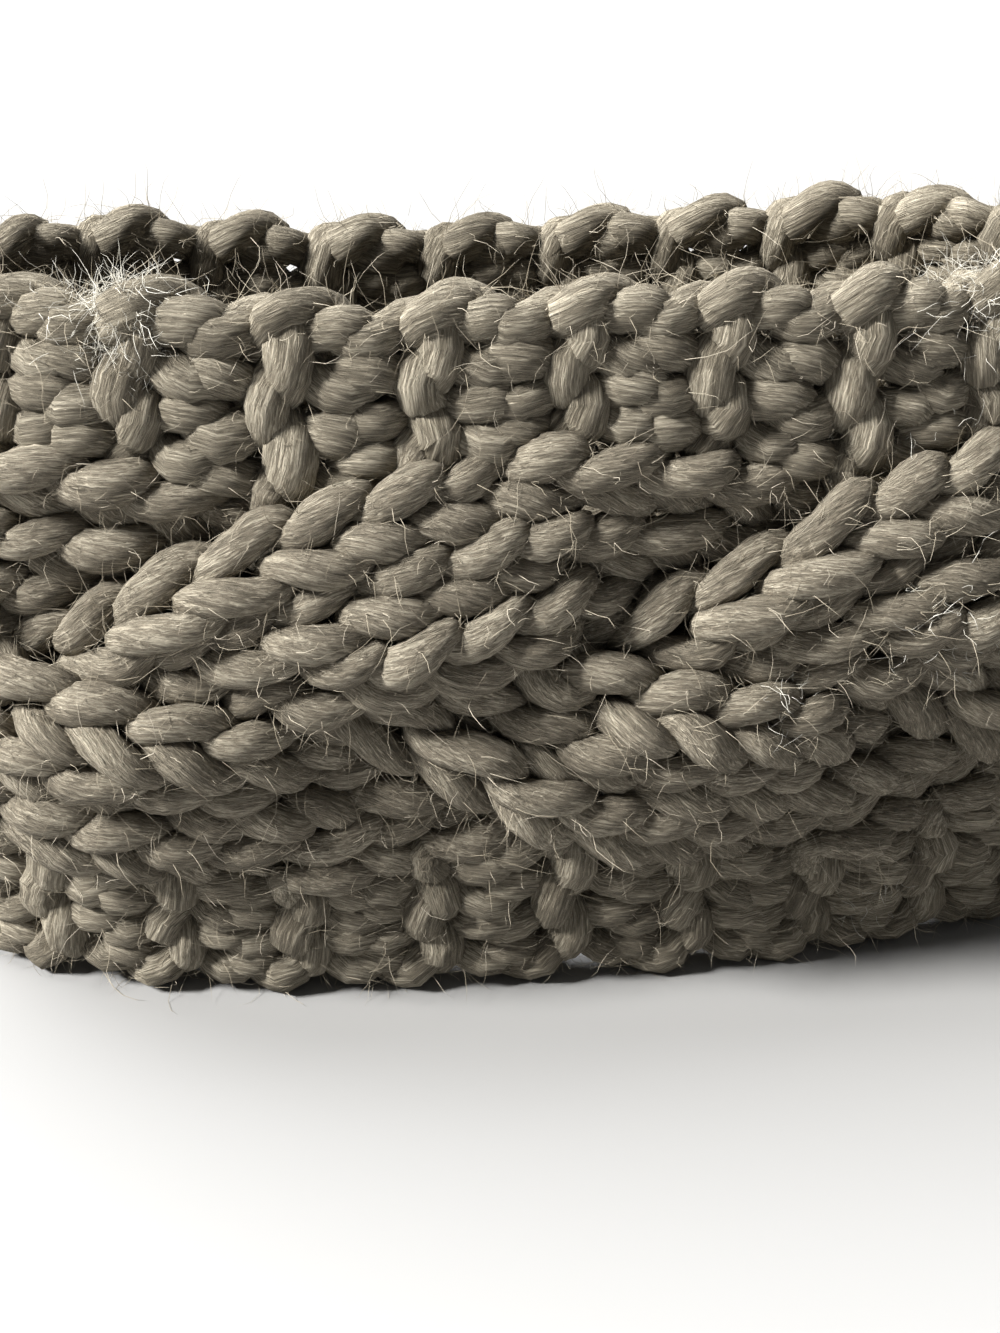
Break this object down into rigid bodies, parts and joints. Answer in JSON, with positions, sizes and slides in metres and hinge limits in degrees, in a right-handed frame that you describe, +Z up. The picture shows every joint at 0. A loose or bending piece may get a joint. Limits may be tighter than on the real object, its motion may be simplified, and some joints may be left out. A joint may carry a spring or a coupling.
{
  "type": "ear warmer headband",
  "caption": "Chunky knitted ear warmer headband: an open oval loop with garter stitch borders above and below a wide plait of stockinette strands.",
  "frame": {"origin": "middle of the footprint, on the surface that the headband stands on", "axes": "+Z up across the band, +X along the long way of the oval, front facing -Y"},
  "size_m": [0.2168, 0.1018, 0.1079],
  "materials": {
    "border_wool": "heathered greige wool in garter stitch, matt, with a halo of loose fibres",
    "plait_wool": "heathered greige roving wool in stockinette stitch, matt, with visible fibre streaks along each stitch"
  },
  "bodies": {
    "root": {"lower_border": "border_wool", "upper_border": "border_wool", "plait_strand_1": "plait_wool", "plait_strand_2": "plait_wool", "plait_strand_3": "plait_wool"}
  },
  "joints": []
}
